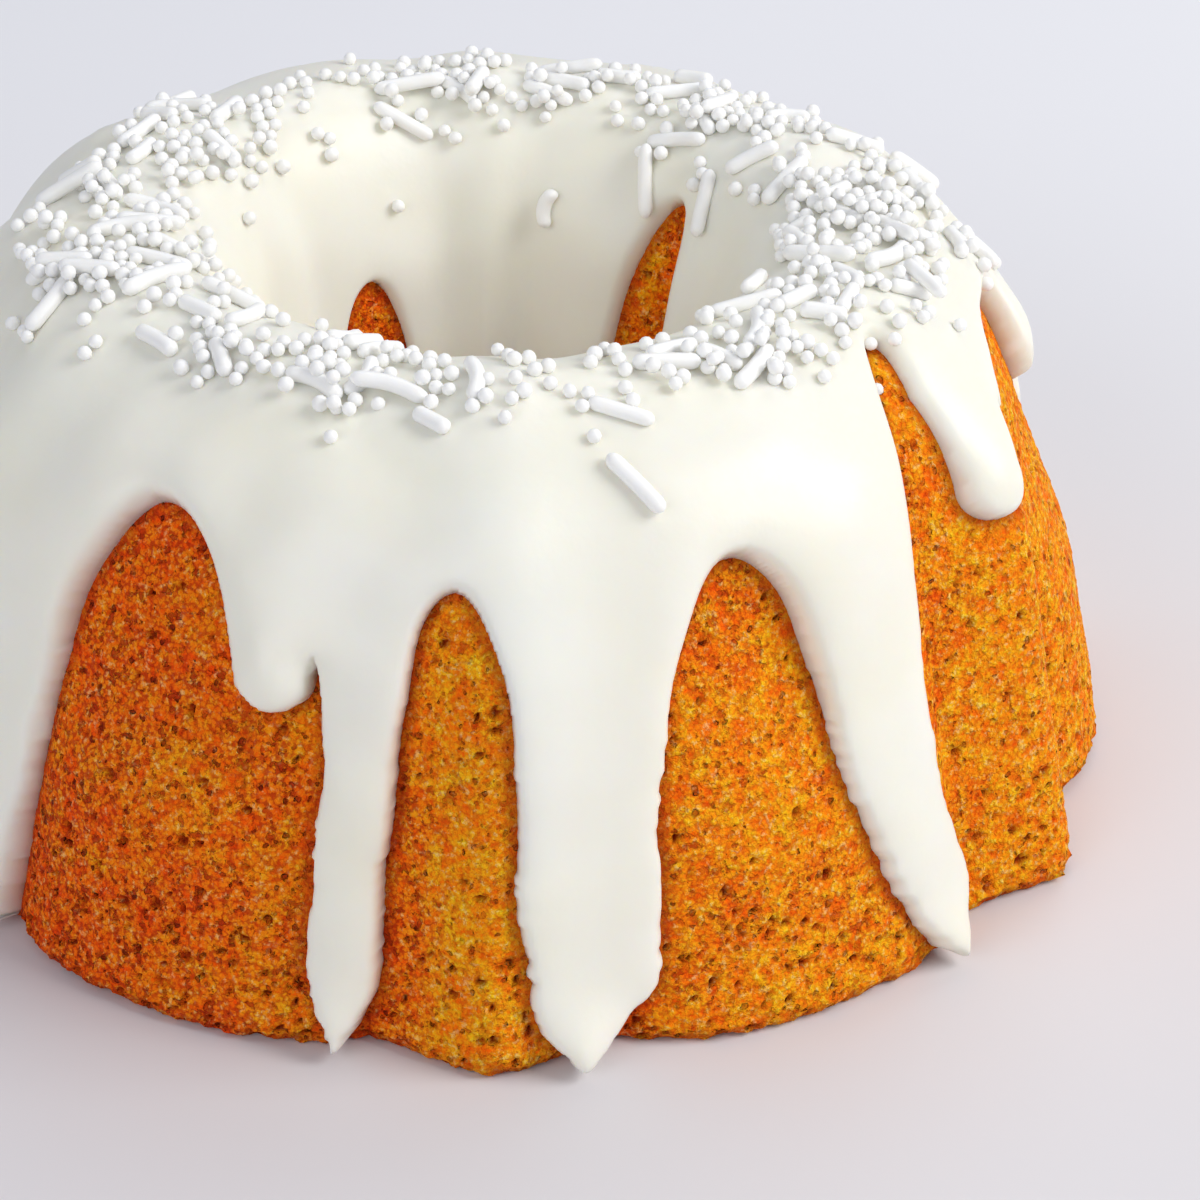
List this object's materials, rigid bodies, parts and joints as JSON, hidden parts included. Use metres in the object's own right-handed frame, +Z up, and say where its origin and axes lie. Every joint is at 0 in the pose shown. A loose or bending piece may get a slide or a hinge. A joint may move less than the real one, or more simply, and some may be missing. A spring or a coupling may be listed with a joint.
{
  "type": "bundt cake",
  "caption": "Small fluted ring cake with a central hole and thick poured icing that runs down the valleys in drips.",
  "frame": {"origin": "centre of the flat base of the cake, on the axis of the hole", "axes": "+Z up along the hole; -Y towards one of the sharp ridges, the side seen from the front; +X to the right seen from there"},
  "size_m": [0.14, 0.144, 0.063],
  "materials": {
    "crust": "baked golden brown crumb crust, matte and porous",
    "icing": "smooth poured white icing, soft sheen"
  },
  "bodies": {
    "root": {"cake": "crust", "icing": "icing"}
  },
  "joints": []
}
